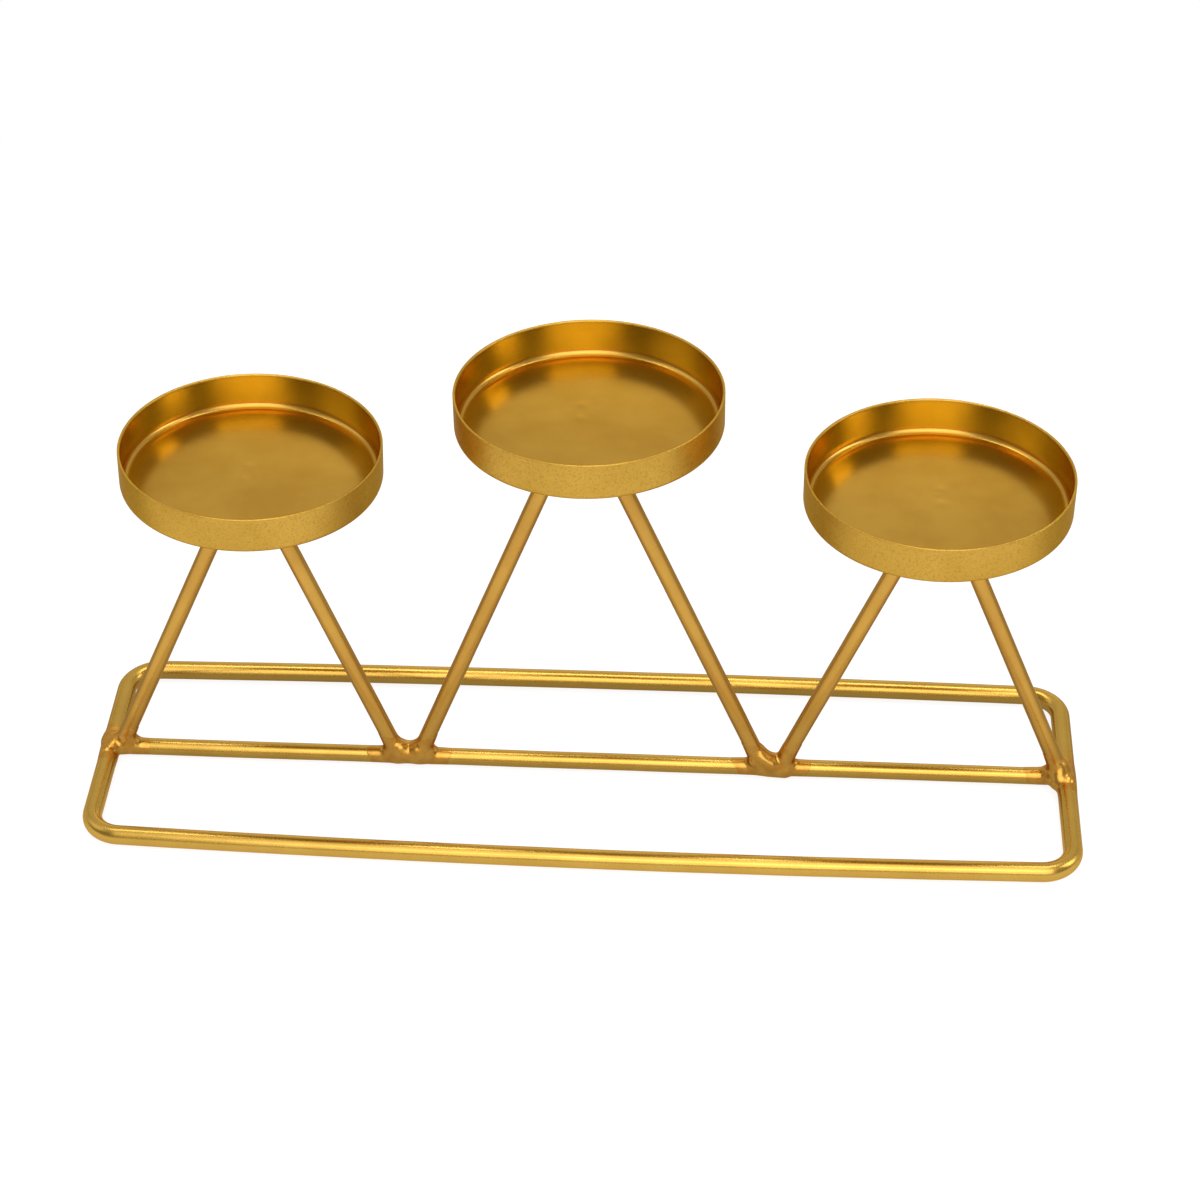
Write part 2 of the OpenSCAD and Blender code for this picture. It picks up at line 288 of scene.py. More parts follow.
# Round wire swept along a line that lies in one plane: `across` is that plane's normal, and each point
# of the line has its own radius
def sweptWire(line, across, radii, sides, closed):
    across = np.asarray(across, float) / np.linalg.norm(across)
    n = len(line)
    if closed:
        along = np.roll(line, -1, 0) - np.roll(line, 1, 0)
    else:
        along = np.gradient(line, axis=0)
    along /= np.linalg.norm(along, axis=1)[:, None]
    side = np.cross(across, along)
    turn = np.arange(sides) * 2 * math.pi / sides
    rings = line[:, None, :] + radii[:, None, None] * (
        np.cos(turn)[None, :, None] * side[:, None, :]
        + np.sin(turn)[None, :, None] * across[None, None, :])
    points = rings.reshape(-1, 3)
    faces = []
    for a in range(n if closed else n - 1):
        b = (a + 1) % n
        for s in range(sides):
            t = (s + 1) % sides
            faces.append((a * sides + s, b * sides + s, b * sides + t, a * sides + t))
    if not closed:  # flat ends
        for tip, end in ((len(points), 0), (len(points) + 1, n - 1)):
            for s in range(sides):
                faces.append((end * sides + s, end * sides + (s + 1) % sides, tip))
        points = np.vstack([points, line[0], line[-1]])
    return points, faces


# The base: its loop and its bar. Both wander a little from their true lines and are drawn a little thin

baseDetail = {"sides": 40, "step": 1.5, "bendStep": 0.6, "thinMm": 0.015,
              "waveMm": 0.10, "waveLength": 90.0, "waveShare": (0.25, 1.0), "fadeLength": 30.0,
              "thinLength": 25.0, "barPoints": 200, "barWaveMm": 0.08, "barWaveLength": 110.0,
              "barThinLength": 30.0}


def loopLine():
    line = []
    for k in range(4):
        before = (k + 3) % 4
        start = facing(before) + bowHalf(before)
        end = facing(k) - bowHalf(k)
        while end < start:
            end += 2 * math.pi
        count = max(6, int(base["cornerR"] * (end - start) / baseDetail["bendStep"]))
        for a in np.linspace(start, end, count, endpoint=False):
            line.append(corners[k] + base["cornerR"] * np.array((math.cos(a), math.sin(a))))
        count = int(np.linalg.norm(sideOf(k)) / baseDetail["step"])
        out = np.array((math.cos(facing(k)), math.sin(facing(k))))
        if bows[k]:
            middle = corners[k] + sideOf(k) / 2 - (bowR(k) - bows[k]) * out
            for a in np.linspace(facing(k) - bowHalf(k), facing(k) + bowHalf(k), count, endpoint=False):
                line.append(middle + (bowR(k) + base["cornerR"]) * np.array((math.cos(a), math.sin(a))))
        else:
            for u in np.linspace(0, 1, count, endpoint=False):
                line.append(corners[k] + base["cornerR"] * out + u * sideOf(k))
    line = np.array(line)
    return np.column_stack([line, np.full(len(line), barZ)])


line = loopLine()
run = lengthAlong(line)
pull = line[:, :2] * np.array(baseDetail["waveShare"])
inward = -pull / np.linalg.norm(pull, axis=1)[:, None]
fade = np.clip(np.minimum(run, run[-1] - run) / baseDetail["fadeLength"], 0, 1)  # nothing where it closes
wave = baseDetail["waveMm"] * fade * (0.5 + 0.5 * wander(run, 11, baseDetail["waveLength"]))
line[:, :2] += inward * wave[:, None]
thin = loopR - baseDetail["thinMm"] * (1 + fade * wander(run, 12, baseDetail["thinLength"]))
points, faces = sweptWire(line, (0, 0, 1), thin, baseDetail["sides"], True)
meshPiece("baseLoop", points, faces, baseWireBrass, "base_loop")

count = baseDetail["barPoints"]
barX = np.linspace(leftEnd, rightEnd, count)
barLine = np.column_stack([barX, np.full(count, barY), np.full(count, barZ)])
barLine[:, 1] += baseDetail["barWaveMm"] * wander(barLine[:, 0], 21, baseDetail["barWaveLength"])
thin = barR - baseDetail["thinMm"] * (1 + wander(barLine[:, 0], 22, baseDetail["barThinLength"]))
points, faces = sweptWire(barLine, (0, 0, 1), thin, baseDetail["sides"], False)
meshPiece("centreBar", points, faces, baseWireBrass, "centre_bar")
print("base ready")


# Trestles: each is one wire, foot to foot over its bend

trestleDetail = {"sides": 40, "step": 1.0, "bendStep": 0.35, "sinkMm": 0.4, "thinMm": 0.012,
                 "thinLength": 18.0}


def trestleLine(i):
    x, _, _, up = bendMiddle(i)
    first, last = np.array(legEnd(i, 0)), np.array(legEnd(i, 1))
    leftFoot, rightFoot = [np.array((foot, trestleDetail["sinkMm"])) for foot in feet[i]]
    count = int(np.linalg.norm(first - leftFoot) / trestleDetail["step"])
    flat = [leftFoot + (first - leftFoot) * u for u in np.linspace(0, 1, count, endpoint=False)]
    a0, a1 = footTurn(i, 0) + math.pi / 2, footTurn(i, 1) - math.pi / 2
    while a1 > a0:
        a1 -= 2 * math.pi
    while a0 - a1 > 2 * math.pi:
        a1 += 2 * math.pi
    count = max(10, int(bendR * (a0 - a1) / trestleDetail["bendStep"]))
    flat += [np.array((x + bendR * math.cos(a), up + bendR * math.sin(a)))
             for a in np.linspace(a0, a1, count, endpoint=False)]
    count = int(np.linalg.norm(last - rightFoot) / trestleDetail["step"])
    flat += [last + (rightFoot - last) * u for u in np.linspace(0, 1, count)]
    return np.array([onTrestle(i, p[0], p[1]) for p in flat])


for i, which in enumerate(placeNames):
    line = trestleLine(i)
    thin = legR - trestleDetail["thinMm"] * (
        1 + wander(lengthAlong(line), 30 + i, trestleDetail["thinLength"]))
    across = (0, math.cos(leans[i]), -math.sin(leans[i]))
    points, faces = sweptWire(line, across, thin, trestleDetail["sides"], False)
    meshPiece(which + "TrestleWire", points, faces, trestleWireBrass, which + "_trestle")
print("trestles ready")


# Cups: pressed sheet, its rim cut and left a little uneven

cupDetail = {"around": 288, "rimInner": 0.54, "rimOuter": 0.25, "rimDip": 0.07, "rimBand": 1.5,
             "outOfRound": 0.08, "wallBand": 4, "fillet": 1.7, "grooveDeep": 0.40,
             "edgeDegrees": 14.0, "edgeMm": 8.0, "domeDegrees": 2.2, "domeMm": 9.0, "domeStep": 0.5,
             "flatR": 34.2, "flatFade": 6.0, "floorSag": 0.10, "markRise": 0.07, "markR": 2.2}
rimWaves = (1, 2, 3, 5, 8, 13, 19, 27, 38, 51)  # how many times round each unevenness of the rim goes
tackY = legR + 0.95  # how far in front of and behind the bend a cup's tack welds stand


def arcPoints(cr, cz, r, a0, a1, count):
    return [(cr + r * math.cos(a), cz + r * math.sin(a)) for a in np.linspace(a0, a1, count)]


# Radius and height, from the underside's middle out, up and back in over the floor. Close rings stand
# beside each rounding, so that the smooth shading doesn't leak into the flat faces. The pressed floor is
# domed, and falls to a shallow groove round the foot of the wall.
def cupSection():
    outer, t, e, h = cups["across"] / 2, cups["sheet"], cups["edgeR"], cups["height"]
    ri, ro, f = cupDetail["rimInner"], cupDetail["rimOuter"], cupDetail["fillet"]
    low = t - cupDetail["grooveDeep"]
    edge, dome = math.radians(cupDetail["edgeDegrees"]), math.radians(cupDetail["domeDegrees"])
    quarter = math.pi / 2
    section = [(r, 0.0) for r in [*np.linspace(3, outer - e - 1, 12), outer - e - 0.3, outer - e - 0.08]]
    section += arcPoints(outer - e, e, e, -quarter, 0, 12)
    section += [(outer, z) for z in [e + 0.08, e + 0.3, *np.linspace(e + 1, h - ro - 1, 6),
                                     h - ro - 0.3, h - ro - 0.06]]
    section += arcPoints(outer - ro, h - ro, ro, 0, quarter, 5)
    section += arcPoints(outer - t + ri, h - ri, ri, quarter, 2 * quarter, 8)
    rimRings = len(section)
    section += [(outer - t, z) for z in [h - ri - 0.06, h - ri - 0.3,
                                         *np.linspace(h - ri - 1, low + f + 1, 6),
                                         low + f + 0.3, low + f + 0.08]]
    wallRings = len(section)
    section += arcPoints(outer - t - f, low + f, f, 0, -quarter - edge, 18)
    r, z = section[-1]
    start, step = r, cupDetail["domeStep"]
    while r > 1.5:  # steep beside the groove, then even, then flat at the middle
        middle = r - step / 2
        near = 1 / (1 + ((start - middle) / cupDetail["edgeMm"]) ** 3)
        slope = dome * (1 - math.exp(-(middle / cupDetail["domeMm"]) ** 2)) + (edge - dome) * near
        r, z = r - step, z + step * math.tan(slope)
        section.append((r, z))
    return np.array(section), rimRings, wallRings


section, rimRings, wallRings = cupSection()
angle = np.arange(cupDetail["around"]) * 2 * math.pi / cupDetail["around"]


def cupPoints(i):
    rng = np.random.default_rng(50 + i)
    r = np.repeat(section[:, :1], len(angle), 1)
    z = np.repeat(section[:, 1:], len(angle), 1)

    # The wall is pressed a little out of round, more so towards the rim, and the rim's cut dips here
    # and there
    phase = rng.random(6) * phaseSpan
    squeeze = cupDetail["outOfRound"] * (
        0.5 + 0.3 * np.cos(2 * angle + phase[0]) + 0.2 * np.cos(3 * angle + phase[1]))
    high = np.clip((z - 1.0) / (cups["height"] - 1.0), 0, 1)
    r = r - squeeze[None, :] * (0.3 + 0.7 * high) * (r > cups["across"] / 2 - cupDetail["wallBand"])
    ragged = sum(np.cos(k * angle + rng.random() * phaseSpan) / (1 + k / 9) for k in rimWaves)
    ragged = (ragged - ragged.min()) / (ragged.max() - ragged.min())
    band = cupDetail["rimBand"]
    atRim = np.clip((z - (cups["height"] - band)) / band, 0, 1)
    z = z - cupDetail["rimDip"] * ragged[None, :] * atRim

    # The floor's upper face: a slight sag in the sheet, and low marks where the tacks drew it
    px, py = r * np.cos(angle), r * np.sin(angle)
    inFloor = np.arange(len(section)) > wallRings
    flatPart = np.clip((cupDetail["flatR"] - r) / cupDetail["flatFade"], 0, 1) * inFloor[:, None]
    swell = (np.cos(px / 9.0 + phase[2]) * np.cos(py / 11.0 + phase[3])
             + np.cos(px / 17.0 + phase[4] + py / 14.0)) / 2
    z = z + flatPart * cupDetail["floorSag"] * 0.5 * (swell - 1)
    for sign in (-1, 1):
        mx, my = -cups["places"][i][0], sign * tackY - cups["places"][i][1]
        far = np.hypot(px - mx, py - my) / cupDetail["markR"]
        z = z + flatPart * cupDetail["markRise"] * np.exp(-far ** 2) * (1.6 - far)

    c, s = math.cos(tilts[i]), math.sin(tilts[i])
    seat = cupPoint(i, *cups["places"][i], 0.0)
    shell = np.stack([seat[0] + px * c + z * s, seat[1] + py, seat[2] - px * s + z * c], -1)
    floorTop = section[-1, 1]
    return np.vstack([shell.reshape(-1, 3), seat, seat + np.array((floorTop * s, 0, floorTop * c))])


def cupFaces():  # quads between the rings, then a fan at the underside's middle and one at the floor's
    count = len(angle)
    last = (len(section) - 1) * count
    faces = []
    for a in range(len(section) - 1):
        for k in range(count):
            m = (k + 1) % count
            faces.append((a * count + k, a * count + m, (a + 1) * count + m, (a + 1) * count + k))
    for k in range(count):
        m = (k + 1) % count
        faces.append((k, last + count, m))
        faces.append((last + k, last + m, last + count + 1))
    return faces


for i, which in enumerate(placeNames):
    cup = meshPiece(which + "Cup", cupPoints(i), cupFaces(), cupBrass, which + "_cup")
    cup.data.materials.append(cupWallBrass)
    cup.data.materials.append(cupInnerTintedBrass)
    for face in cup.data.polygons:  # in the section's order: underside, outside and rim, inner wall, floor
        if face.index < rimRings * len(angle):
            face.material_index = 1
        elif face.index < wallRings * len(angle):
            face.material_index = 2
print("cups ready")


# Welds: frozen metal grown over the wires they join, meshed from a distance field

def capsuleDistance(p, a, b, r):
    a, b = np.asarray(a, float), np.asarray(b, float)
    ab = b - a
    t = np.clip(((p - a) @ ab) / (ab @ ab), 0, 1)
    return np.linalg.norm(p - a - t[..., None] * ab, axis=-1) - r


def blobDistance(p, centre, radii):
    q = (p - np.asarray(centre, float)) / np.asarray(radii, float)
    k = np.linalg.norm(q, axis=-1)
    return (k - 1) * min(radii)


def melt(a, b, k):  # the lower of two distances, run together over a width of about k
    h = np.clip(0.5 + 0.5 * (b - a) / k, 0, 1)
    return b * (1 - h) + a * h - k * h * (1 - h)


def lumps(p, seed, size):  # low swellings about as wide as size
    rng = np.random.default_rng(seed)
    out = np.zeros(p.shape[:-1])
    for k in range(7):
        d = rng.normal(size=3)
        d /= np.linalg.norm(d)
        pace = 0.7 + 0.9 * rng.random()
        out += np.sin((p @ d) / size * pace * 2 * math.pi + rng.random() * phaseSpan)
    return out / 4.0


# Closed mesh of the places where a distance field changes sign (one point in each crossed cell)
def fieldSurface(distance, low, high, cell):
    low, high = np.asarray(low, float), np.asarray(high, float)
    probe = 0.02
    shape = np.ceil((high - low) / cell).astype(int) + 1
    axes = [low[k] + cell * np.arange(shape[k]) for k in range(3)]
    grid = np.stack(np.meshgrid(*axes, indexing="ij"), -1)
    field = distance(grid)
    for k in range(3):  # closed at the edge of the block
        edge = [slice(None)] * 3
        for e in (0, -1):
            edge[k] = e
            field[tuple(edge)] = np.maximum(field[tuple(edge)], probe)
    inside = field < 0

    # A point in each cell: the mean of where the surface crosses the cell's edges
    cells = tuple(s - 1 for s in shape)
    total, weight = np.zeros(cells + (3,)), np.zeros(cells)
    steps = [np.array(v) for v in ((1, 0, 0), (0, 1, 0), (0, 0, 1))]
    for axis in range(3):
        others = [k for k in range(3) if k != axis]
        for da in (0, 1):
            for db in (0, 1):
                start = np.zeros(3, int)
                start[others[0]], start[others[1]] = da, db
                stop = start + steps[axis]
                cut0 = tuple(slice(start[k], start[k] + cells[k]) for k in range(3))
                cut1 = tuple(slice(stop[k], stop[k] + cells[k]) for k in range(3))
                f0, f1 = field[cut0], field[cut1]
                crossed = inside[cut0] != inside[cut1]
                u = np.where(crossed, f0 / np.where(crossed, f0 - f1, 1), 0)
                total += (grid[cut0] + (grid[cut1] - grid[cut0]) * u[..., None]) * crossed[..., None]
                weight += crossed
    used = weight > 0
    index = np.full(cells, -1)
    index[used] = np.arange(used.sum())
    points = total[used] / weight[used][:, None]
    for _ in range(2):  # drawn onto the true surface
        slope = np.stack([distance(points + h) - distance(points - h)
                          for h in np.eye(3) * probe], -1) / (2 * probe)
        move = distance(points)[:, None] * slope / np.maximum((slope ** 2).sum(-1), 0.1)[:, None]
        points = points - np.clip(move, -cell / 2, cell / 2)

    # A face across each edge of the grid that the surface crosses, between the four cells round it
    faces = []
    for axis in range(3):
        a, b = [k for k in range(3) if k != axis]
        lo = tuple(slice(1 if k != axis else 0, shape[k] - 1) for k in range(3))
        hi = tuple(slice(1, shape[k] - 1 if k != axis else shape[k]) for k in range(3))
        change = inside[lo] != inside[hi]
        flip = inside[lo][change]
        if axis == 1:
            flip = ~flip
        for where, f in zip(np.argwhere(change), flip):
            at = where.copy()
            for k in (a, b):
                at[k] += 1
            quad = []
            for da, db in ((-1, -1), (0, -1), (0, 0), (-1, 0)):
                q = at.copy()
                q[a] += da
                q[b] += db
                quad.append(index[tuple(q)])
            faces.append(tuple(quad) if f else tuple(reversed(quad)))
    return points, faces


sunk = 0.03  # the welds' own skin lies this far inside the wires, so the wires' surface shows
weldDetail = {"cell": 0.26, "lumpMm": 0.02, "lumpSize": 2.6, "fadeShare": 0.4, "join": 0.8,
              "least": 0.01, "lowest": 0.02, "tableFrom": 0.2, "tableFade": 2.2, "tableLeast": 0.05,
              "margin": 0.6, "legReach": 22, "barShort": 3}


# The wires that the welds join, each as the ends of a capsule and its radius
def legPart(i, f):  # the lowest part of a leg
    start = np.array((feet[i][f], 0.0))
    d = np.array(legEnd(i, f)) - start
    d /= np.linalg.norm(d)
    return (onTrestle(i, *start), onTrestle(i, *(start + d * weldDetail["legReach"]))), legR


def endWire(k):
    out = base["cornerR"] * np.array((math.cos(facing(k)), math.sin(facing(k))))
    start = corners[k] + out
    return (np.array((*start, loopR)), np.array((*(start + sideOf(k)), loopR))), loopR


# One weld: wires are (ends, radius), fillets are (wire, wire, width), beads are (end, end, radius, fillet).
# Fillets and lumps die down to the bare wires at the edge of the keep ellipsoid and at the table.
def weldPiece(name, node, wires, weld, seed):
    centre, radii = [np.array(v) for v in weld["keep"]]
    least = weldDetail["least"]

    def distance(p):
        inside = 1 - np.linalg.norm((p - centre) / radii, axis=-1)
        overTable = (p[..., 2] - weldDetail["tableFrom"]) / weldDetail["tableFade"]
        fade = np.clip(inside / weldDetail["fadeShare"], 0, 1)
        fade = fade * np.clip(overTable, weldDetail["tableLeast"], 1)
        bare = [capsuleDistance(p, *ends, r - sunk) for ends, r in wires]
        field = None
        for first, second, spread in weld["fillets"]:
            d = melt(bare[first], bare[second], spread * fade + least)
            field = d if field is None else melt(field, d, weldDetail["join"] * fade + least)
        for a, b, r, spread in weld["beads"]:
            field = melt(field, capsuleDistance(p, a, b, r), spread * fade + least)
        field = field + weldDetail["lumpMm"] * lumps(p, seed, weldDetail["lumpSize"]) * fade
        return np.maximum(np.maximum(field, -inside * radii.min()), weldDetail["lowest"] - p[..., 2])

    margin = weldDetail["margin"]
    points, faces = fieldSurface(distance, centre - radii - margin, centre + radii + margin,
                                 weldDetail["cell"])
    meshPiece(name, points, faces, weldBrass, node)


# The bar is taken short of the end wires' far side. The wires of each weld are numbered from 0: the bar,
# then the end wire and the leg, or the left leg and the right leg
short = weldDetail["barShort"]
bar = (((leftEnd + short, barY, barZ), (rightEnd - short, barY, barZ)), barR)
leftWeld = {
    "keep": ((-142.6, 1.0, 4.0), (9.5, 9.5, 8.5)),
    "fillets": [(0, 2, 3.6), (0, 1, 0.8), (1, 2, 1.6)],
    "beads": [((-144.2, 0.4, 4.6), (-144.4, -0.9, 4.4), 2.15, 1.2),
              ((-145.3, -1.6, 4.0), (-145.8, -2.6, 3.9), 1.7, 1.4),
              ((-146.1, -3.0, 4.3), (-146.2, -3.3, 4.2), 1.7, 1.0),
              ((-143.8, 1.0, 4.4), (-143.2, 1.4, 4.0), 2.3, 2.0),
              ((-140.2, 1.8, 5.2), (-138.9, 2.0, 3.8), 2.3, 2.2),
              ((-146.3, 3.4, 3.2), (-146.2, 5.2, 3.2), 2.8, 1.4)]}
rightWeld = {
    "keep": ((142.8, 0.6, 4.4), (9.6, 9.5, 9.0)),
    "fillets": [(0, 2, 3.2), (0, 1, 5.2), (1, 2, 0.8)],
    "beads": [((143.8, 1.5, 7.2), (144.2, -1.2, 3.9), 3.0, 1.2),
              ((141.2, -0.2, 4.1), (141.4, -0.2, 3.9), 1.7, 0.8),
              ((146.8, -2.1, 5.0), (146.9, -2.4, 4.9), 1.5, 0.8),
              ((142.0, 1.9, 4.6), (142.8, 2.0, 5.2), 2.35, 2.0)]}
leftNotch = {
    "keep": ((-53.0, 2.1, 4.6), (13.5, 6.5, 9.5)),
    "fillets": [(0, 1, 3.4), (0, 2, 3.4), (1, 2, 2.0)],
    "beads": [((-55.0, 1.9, 5.2), (-51.0, 1.9, 5.0), 2.6, 3.0),
              ((-47.6, 2.1, 5.0), (-46.9, 2.1, 4.2), 2.3, 1.6),
              ((-55.3, 0.7, 6.9), (-54.2, 0.2, 4.8), 1.6, 1.2),
              ((-51.0, 0.6, 6.4), (-50.4, 0.6, 6.0), 1.3, 1.2)]}
rightNotch = {
    "keep": ((57.6, 2.1, 5.4), (12.5, 6.5, 11.0)),
    "fillets": [(0, 1, 3.0), (0, 2, 3.0), (1, 2, 1.0)],
    "beads": [((53.9, 2.2, 8.4), (58.2, 2.2, 5.1), 2.0, 2.2),
              ((54.4, 1.2, 8.5), (54.4, 0.6, 8.0), 1.7, 1.2),
              ((55.8, 1.0, 7.5), (55.8, 0.2, 7.0), 1.75, 1.2),
              ((57.5, 1.0, 6.3), (57.6, 0.1, 5.7), 2.1, 1.4),
              ((51.9, 0.3, 6.7), (52.0, 0.3, 6.3), 1.35, 0.9),
              ((53.7, 0.0, 5.4), (53.9, 0.0, 5.1), 1.3, 0.9),
              ((57.0, 1.6, 2.8), (61.6, 1.35, 2.72), 2.62, 2.0)]}
weldPiece("leftEndWeld", "left_end_weld", [bar, endWire(3), legPart(0, 0)], leftWeld, 61)
weldPiece("rightEndWeld", "right_end_weld", [bar, endWire(1), legPart(2, 1)], rightWeld, 62)
weldPiece("leftNotchWeld", "left_notch_weld", [bar, legPart(0, 1), legPart(1, 0)], leftNotch, 63)
weldPiece("rightNotchWeld", "right_notch_weld", [bar, legPart(1, 1), legPart(2, 0)], rightNotch, 64)
print("welds on the bar ready")


# Tacks under the cups: one in front of each bend and one behind, run between wire and sheet. The cells
# are set for each cup, so that no two faces meet edge on

tackDetail = {"cells": (0.245, 0.245, 0.26), "bendFrom": 0.7, "fillet": 1.6, "join": 0.6,
              "patchH": -0.5, "patchRadii": (2.4, 2.0, 1.9),
              "beadX": 0.15, "beadH": -0.75, "beadRadii": (1.9, 1.7, 1.5), "lumpMm": 0.12, "lumpSize": 2.6,
              "under": 0.02, "blockLow": (4.5, 7.0, 5.0), "blockHigh": (4.5, 7.0, 0.8)}


def tackPiece(i, which):
    x, _, _, up = bendMiddle(i)
    bendTop = [onTrestle(i, x + bendR * math.cos(a), up + bendR * math.sin(a))
               for a in np.linspace(tackDetail["bendFrom"], math.pi - tackDetail["bendFrom"], 9)]
    cupUp = np.array((math.sin(tilts[i]), 0, math.cos(tilts[i])))
    middle = cupPoint(i, 0, 0, 0)
    ceiling = middle @ cupUp
    patches = [cupPoint(i, 0, s * tackY, tackDetail["patchH"]) for s in (-1, 1)]
    beads = [cupPoint(i, tackDetail["beadX"] * s, s * tackY, tackDetail["beadH"]) for s in (-1, 1)]

    def distance(p):
        wire = np.min([capsuleDistance(p, a, b, legR - sunk) for a, b in zip(bendTop, bendTop[1:])], axis=0)
        under = p @ cupUp - ceiling
        ring = melt(wire, -under, tackDetail["fillet"])  # a fillet between the wire and the sheet
        patch = np.minimum(*[blobDistance(p, at, tackDetail["patchRadii"]) for at in patches])
        bead = np.minimum(*[blobDistance(p, at, tackDetail["beadRadii"]) for at in beads])
        field = melt(np.maximum(ring, patch), bead, tackDetail["join"])
        field = field + tackDetail["lumpMm"] * lumps(p, 70 + i, tackDetail["lumpSize"])
        return np.maximum(field, under + tackDetail["under"])

    points, faces = fieldSurface(distance, middle - np.array(tackDetail["blockLow"]),
                                 middle + np.array(tackDetail["blockHigh"]), tackDetail["cells"][i])
    meshPiece(which + "CupTacks", points, faces, weldBrass, which + "_cup_tacks")


for i, which in enumerate(placeNames):
    tackPiece(i, which)
print("cup tacks ready")


# Floor, lights and camera, in metres and degrees

stageLook = {"paper": 0.80, "shadowShare": 0.22, "glow": 0.86, "fadeFrom": 0.28, "fadeTo": 0.50,
             "mirrorFront": 1.00, "mirrorRear": 0.46, "frontY": -0.060, "rearY": 0.020,
             "radius": 2.4, "sink": 0.0001}


def mirroredRay(tree, rays):  # 1 for what the metal mirrors, and 0 otherwise
    return combine(tree, "MAXIMUM", rays.outputs["Is Glossy Ray"], rays.outputs["Is Transmission Ray"])


# Coated paper: no gloss, keeps a soft shadow. The metal mirrors it with painted light, as if lit from the
# front:
# brighter before the stand than beside and behind it.
def floorMaterial():
    material = bpy.data.materials.new("white paper, matt")
    material.use_nodes = True
    tree = material.node_tree
    tree.nodes.clear()
    rays = addNode(tree, "ShaderNodeLightPath")
    mirrored = mirroredRay(tree, rays)
    seen = combine(tree, "MAXIMUM", rays.outputs["Is Camera Ray"], mirrored)
    place = addNode(tree, "ShaderNodeTexCoord")
    far = addNode(tree, "ShaderNodeVectorMath", {0: place.outputs["Object"]}, operation="LENGTH")
    fade = addNode(tree, "ShaderNodeMapRange", {
        "Value": far.outputs["Value"], "From Min": stageLook["fadeFrom"], "From Max": stageLook["fadeTo"]},
        interpolation_type="SMOOTHSTEP")
    across = addNode(tree, "ShaderNodeSeparateXYZ", {0: place.outputs["Object"]})
    lit = addNode(tree, "ShaderNodeMapRange", {
        "Value": across.outputs["Y"], "From Min": stageLook["frontY"], "From Max": stageLook["rearY"],
        "To Min": stageLook["mirrorFront"], "To Max": stageLook["mirrorRear"]},
        interpolation_type="SMOOTHSTEP")
    level = addNode(tree, "ShaderNodeMix", {0: mirrored, 2: 1.0, 3: lit.outputs[0]}, data_type="FLOAT")
    glow = combine(tree, "MULTIPLY", level.outputs[0], stageLook["glow"])
    share = addNode(tree, "ShaderNodeVectorMath", {
        0: (stageLook["shadowShare"],) * 3, "Scale": level.outputs[0]}, operation="SCALE")
    paper = addNode(tree, "ShaderNodeBsdfDiffuse", {"Color": (stageLook["paper"],) * 3 + (1,)})
    shadowed = addNode(tree, "ShaderNodeBsdfDiffuse", {"Color": share.outputs[0]})
    glowing = addNode(tree, "ShaderNodeEmission", {"Color": (1, 1, 1, 1), "Strength": glow})
    near = addNode(tree, "ShaderNodeAddShader", {0: shadowed.outputs[0], 1: glowing.outputs[0]})
    white = addNode(tree, "ShaderNodeEmission", {"Color": (1, 1, 1, 1), "Strength": level.outputs[0]})
    looked = addNode(tree, "ShaderNodeMixShader", {
        0: fade.outputs[0], 1: near.outputs[0], 2: white.outputs[0]})
    both = addNode(tree, "ShaderNodeMixShader", {0: seen, 1: paper.outputs[0], 2: looked.outputs[0]})
    addNode(tree, "ShaderNodeOutputMaterial", {"Surface": both.outputs[0]})
    return material


floorMesh = bpy.data.meshes.new("floorPaper")
bm = bmesh.new()
bmesh.ops.create_circle(bm, cap_ends=True, radius=stageLook["radius"], segments=96)
bm.to_mesh(floorMesh)
bm.free()
floorPaper = bpy.data.objects.new("floorPaper", floorMesh)
floorPaper.location.z = -stageLook["sink"]
floorMesh.materials.append(floorMaterial())
bpy.context.scene.collection.objects.link(floorPaper)

# World: a white backdrop up to a little over the horizon, and above it, to the metal, a pale room.
# az 0 is straight in front of the stand, 90 to its right; each patch is (azimuth, elevation, half width,
# level), and it is even over its core
room = {"level": 0.29, "backdropTo": 4.0, "roomFrom": 13.0, "core": 0.35, "patches": [
    (180, 32, 60, 0.42), (178, 12, 26, 0.45), (8, 68, 28, 1.6), (-93, 44, 25, 0.85), (0, 90, 24, 0.5),
    (-115, 16, 22, 0.35), (115, 16, 22, 0.25)]}


def towards(az, el):  # unit vector from the stand to a lamp or a patch
    a, e = math.radians(az), math.radians(el)
    return math.sin(a) * math.cos(e), -math.cos(a) * math.cos(e), math.sin(e)


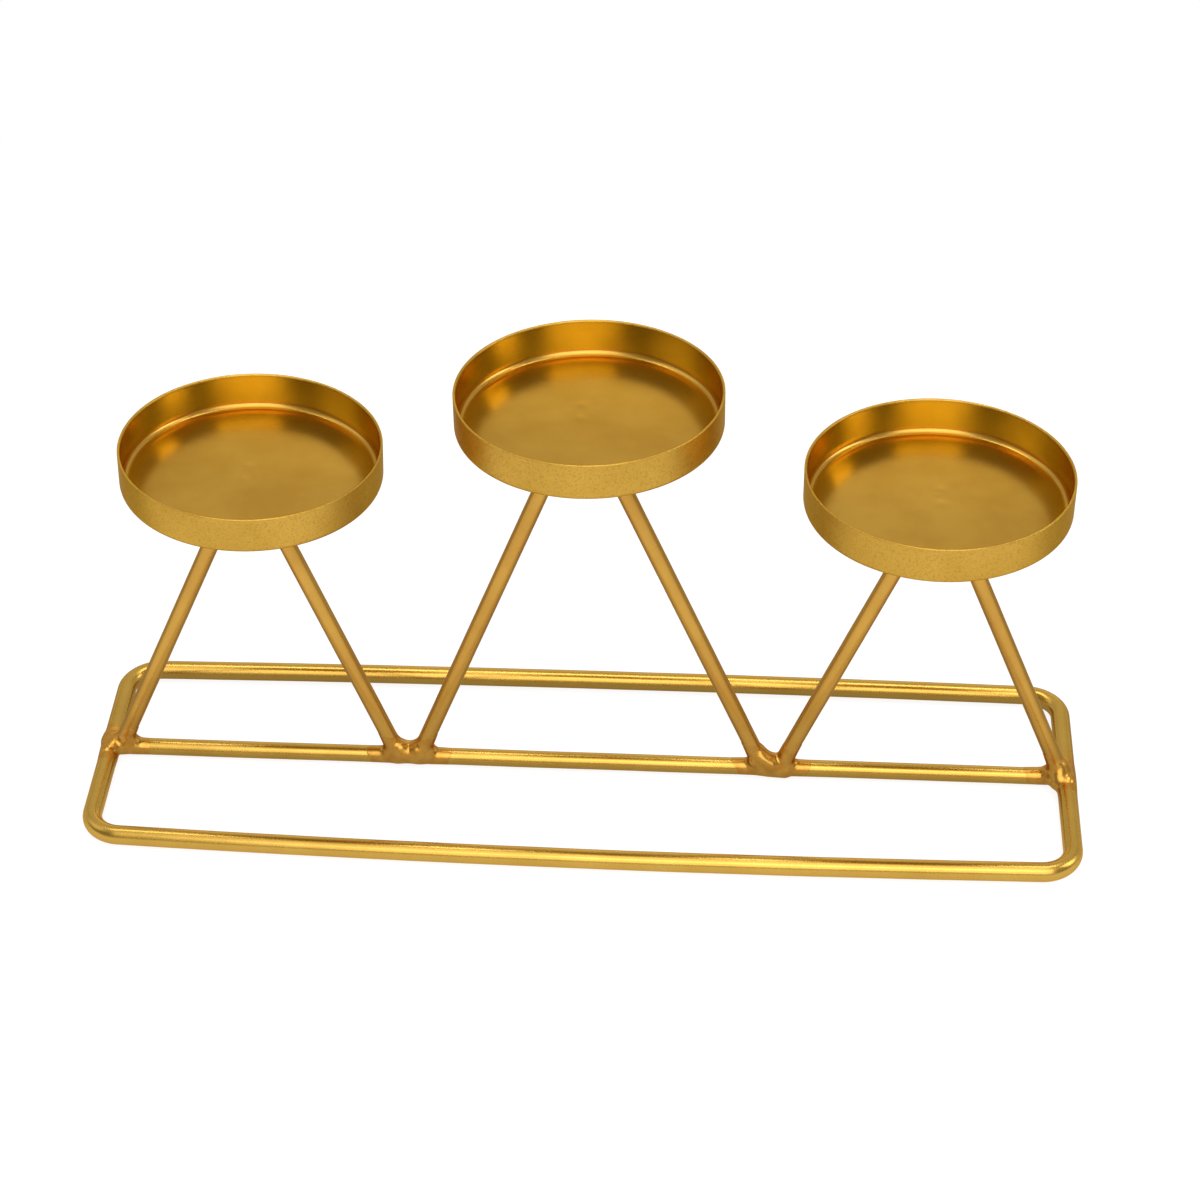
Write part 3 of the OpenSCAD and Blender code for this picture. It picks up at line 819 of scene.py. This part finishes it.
def roomWorld():
    world = bpy.data.worlds.new("pale room")
    bpy.context.scene.world = world
    world.use_nodes = True
    tree = world.node_tree
    tree.nodes.clear()
    look = addNode(tree, "ShaderNodeTexCoord").outputs["Generated"]
    total = None
    for az, el, half, level in room["patches"]:
        dot = addNode(tree, "ShaderNodeVectorMath", {0: look, 1: towards(az, el)}, operation="DOT_PRODUCT")
        lit = addNode(tree, "ShaderNodeMapRange", {
            "Value": dot.outputs["Value"], "From Min": math.cos(math.radians(half)),
            "From Max": math.cos(math.radians(half * room["core"])), "To Min": 0.0, "To Max": level},
            interpolation_type="SMOOTHSTEP").outputs[0]
        total = lit if total is None else combine(tree, "ADD", total, lit)
    total = combine(tree, "ADD", total, room["level"])
    rise = addNode(tree, "ShaderNodeSeparateXYZ", {0: look})
    backdrop = addNode(tree, "ShaderNodeMapRange", {
        "Value": rise.outputs["Z"], "From Min": math.sin(math.radians(room["backdropTo"])),
        "From Max": math.sin(math.radians(room["roomFrom"])), "To Min": 1.0, "To Max": 0.0},
        interpolation_type="SMOOTHSTEP")
    rays = addNode(tree, "ShaderNodeLightPath")
    mirrored = mirroredRay(tree, rays)
    low = combine(tree, "MULTIPLY", mirrored, backdrop.outputs[0])
    seen = combine(tree, "MAXIMUM", rays.outputs["Is Camera Ray"], low)
    soft = addNode(tree, "ShaderNodeBackground", {"Color": (1, 1, 1, 1), "Strength": total})
    white = addNode(tree, "ShaderNodeBackground", {"Color": (1, 1, 1, 1), "Strength": 1.0})
    both = addNode(tree, "ShaderNodeMixShader", {0: seen, 1: soft.outputs[0], 2: white.outputs[0]})
    addNode(tree, "ShaderNodeOutputWorld", {"Surface": both.outputs[0]})


roomWorld()

# Soft boxes: (azimuth, elevation, distance, width, height, level)
softBoxes = {"frontBox": (10, 39, 1.7, 1.64, 1.32, 2.05), "topBox": (180, 77, 1.5, 1.4, 0.26, 4.5),
             "rightBox": (93, 36, 1.7, 0.60, 0.90, 3.3)}
for name, (az, el, far, wide, high, level) in softBoxes.items():
    lamp = bpy.data.lights.new(name, "AREA")
    lamp.shape = "RECTANGLE"
    lamp.size, lamp.size_y = wide, high
    lamp.energy = level * math.pi * wide * high  # a plain level, in the metal's reflections
    box = bpy.data.objects.new(name, lamp)
    box.location = Vector(towards(az, el)) * far
    box.rotation_euler = box.location.to_track_quat("Z", "Y").to_euler()
    box.visible_camera = False
    bpy.context.scene.collection.objects.link(box)

# The camera stands at place, and right, up and back are its own axes
cameraSet = {"lens": 77.344, "sensor": 36.0, "near": 0.01, "far": 20.0,
             "right": (0.99772, 0.0663, -0.013), "up": (-0.02955, 0.6012, 0.79855),
             "back": (0.06075, -0.79634, 0.60179), "place": (0.051797, -0.595104, 0.515894)}
cameraData = bpy.data.cameras.new("photoCamera")
cameraData.lens = cameraSet["lens"]
cameraData.sensor_width = cameraSet["sensor"]
cameraData.sensor_fit = "HORIZONTAL"
cameraData.clip_start, cameraData.clip_end = cameraSet["near"], cameraSet["far"]
camera = bpy.data.objects.new("photoCamera", cameraData)
bpy.context.scene.collection.objects.link(camera)
columns = [cameraSet[key] for key in ("right", "up", "back", "place")]
camera.matrix_world = Matrix([[column[row] for column in columns] for row in range(3)] + [[0, 0, 0, 1]])
bpy.context.scene.camera = camera
bpy.context.scene.view_settings.view_transform = "Standard"
print("stage ready")
